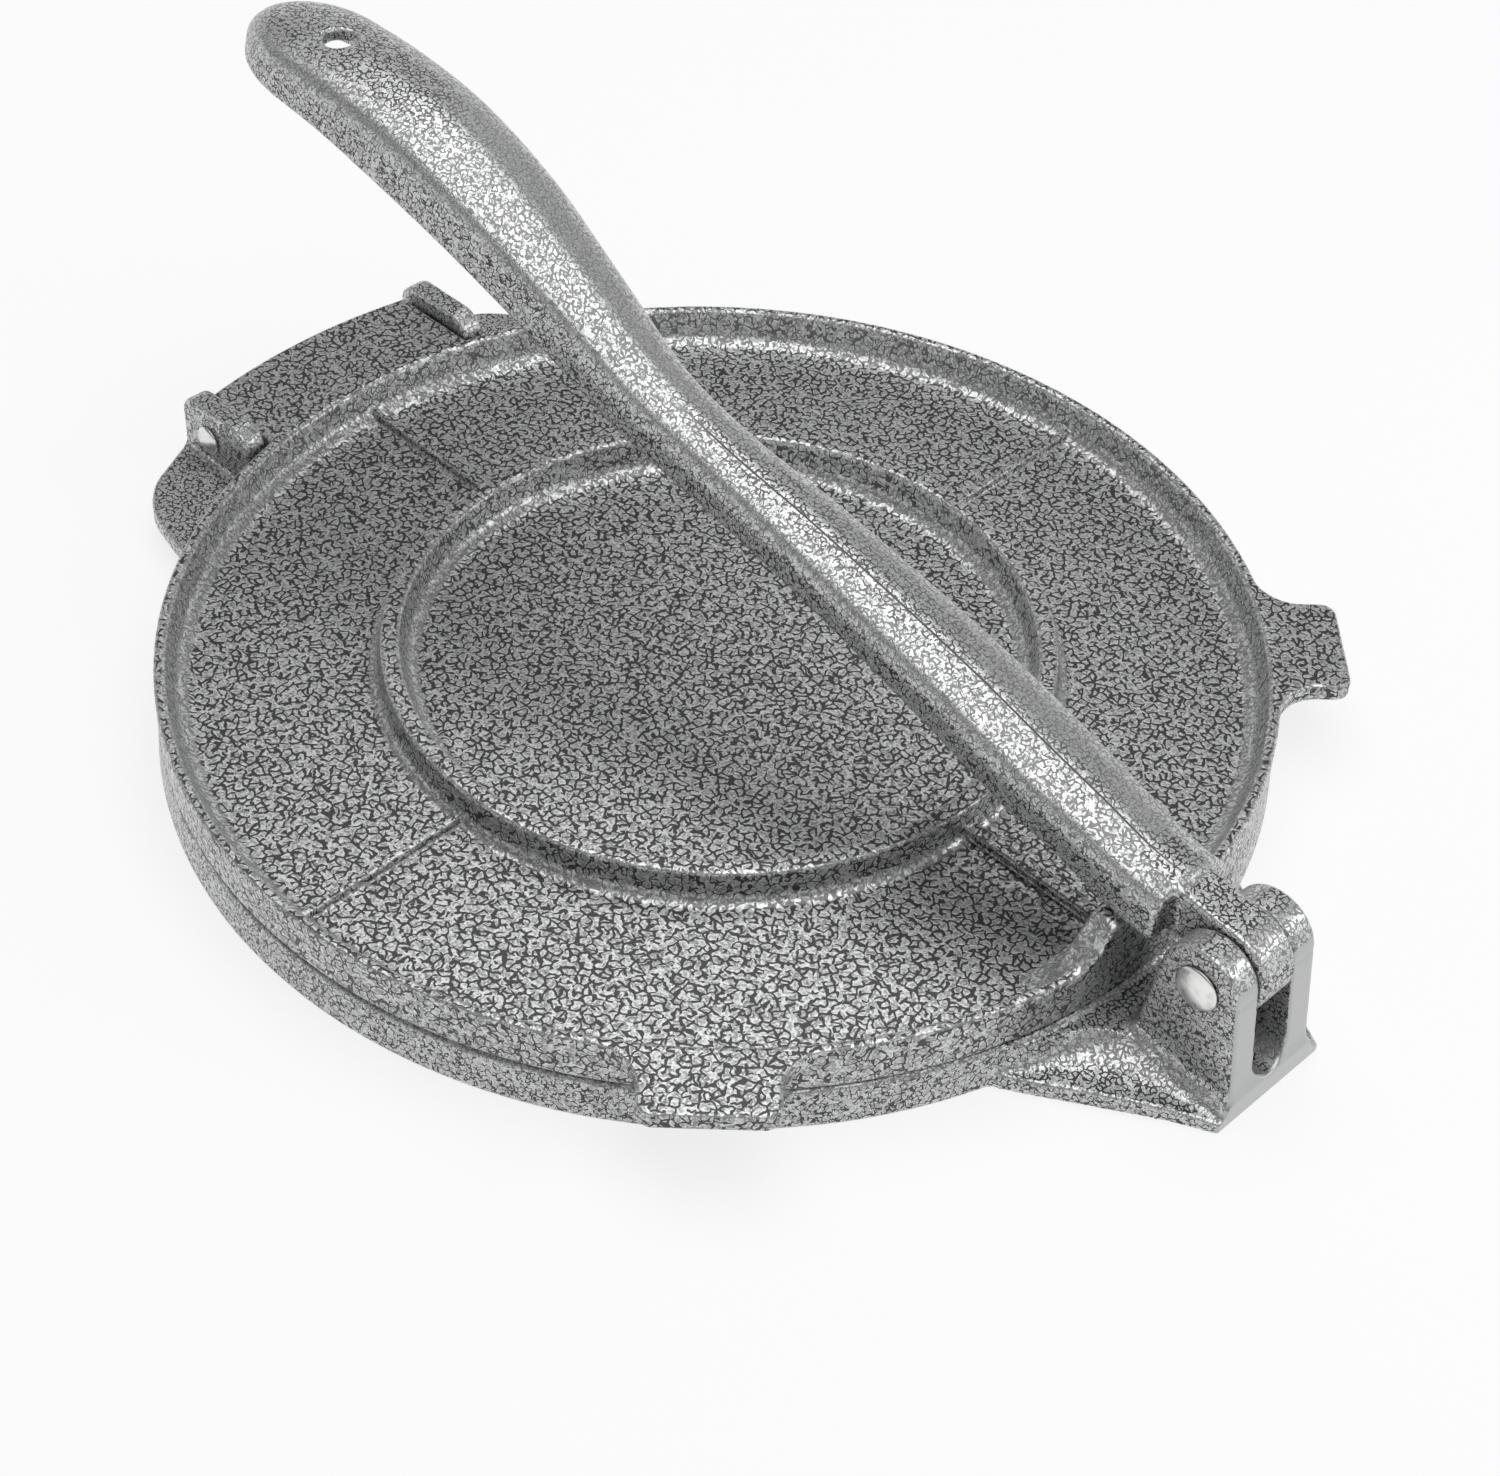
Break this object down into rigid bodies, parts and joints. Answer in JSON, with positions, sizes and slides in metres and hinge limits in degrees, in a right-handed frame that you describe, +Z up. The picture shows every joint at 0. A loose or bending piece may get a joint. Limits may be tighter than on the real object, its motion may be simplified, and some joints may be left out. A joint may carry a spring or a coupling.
{
  "type": "tortilla press",
  "caption": "Round cast hand press for tortillas: hinged top and base plates, and a curved lever in a clevis that bears on the top plate.",
  "frame": {"origin": "middle of the object's box, on the surface that it stands on", "axes": "+X from the plate hinge towards the lever's clevis, +Y across, along both hinge pins, +Z up"},
  "size_m": [0.262, 0.211, 0.0985],
  "materials": {
    "cast_coat": "silver hammered coat with fine black veins, semi-gloss",
    "rivet_steel": "bright, lightly worn"
  },
  "bodies": {
    "base": {"base_plate": "cast_coat", "lever_pin": "rivet_steel", "hinge_pin": "rivet_steel"},
    "top": {"top_plate": "cast_coat"},
    "lever": {"lever": "cast_coat"}
  },
  "joints": [
    {"name": "lever_pivot", "type": "hinge", "parent": "base", "child": "lever", "pos_m": [0.12, 0, 0.0256], "axis": [0, 1, 0], "range_deg": [0, 165]},
    {"name": "top_plate_hinge", "type": "hinge", "parent": "base", "child": "top", "pos_m": [-0.1171, 0, 0.0141], "axis": [0, -1, 0], "range_deg": [0, 105]}
  ],
  "couplings": [
    {"joint": "top_plate_hinge", "follows": "lever_pivot", "ratio": 0.087}
  ]
}
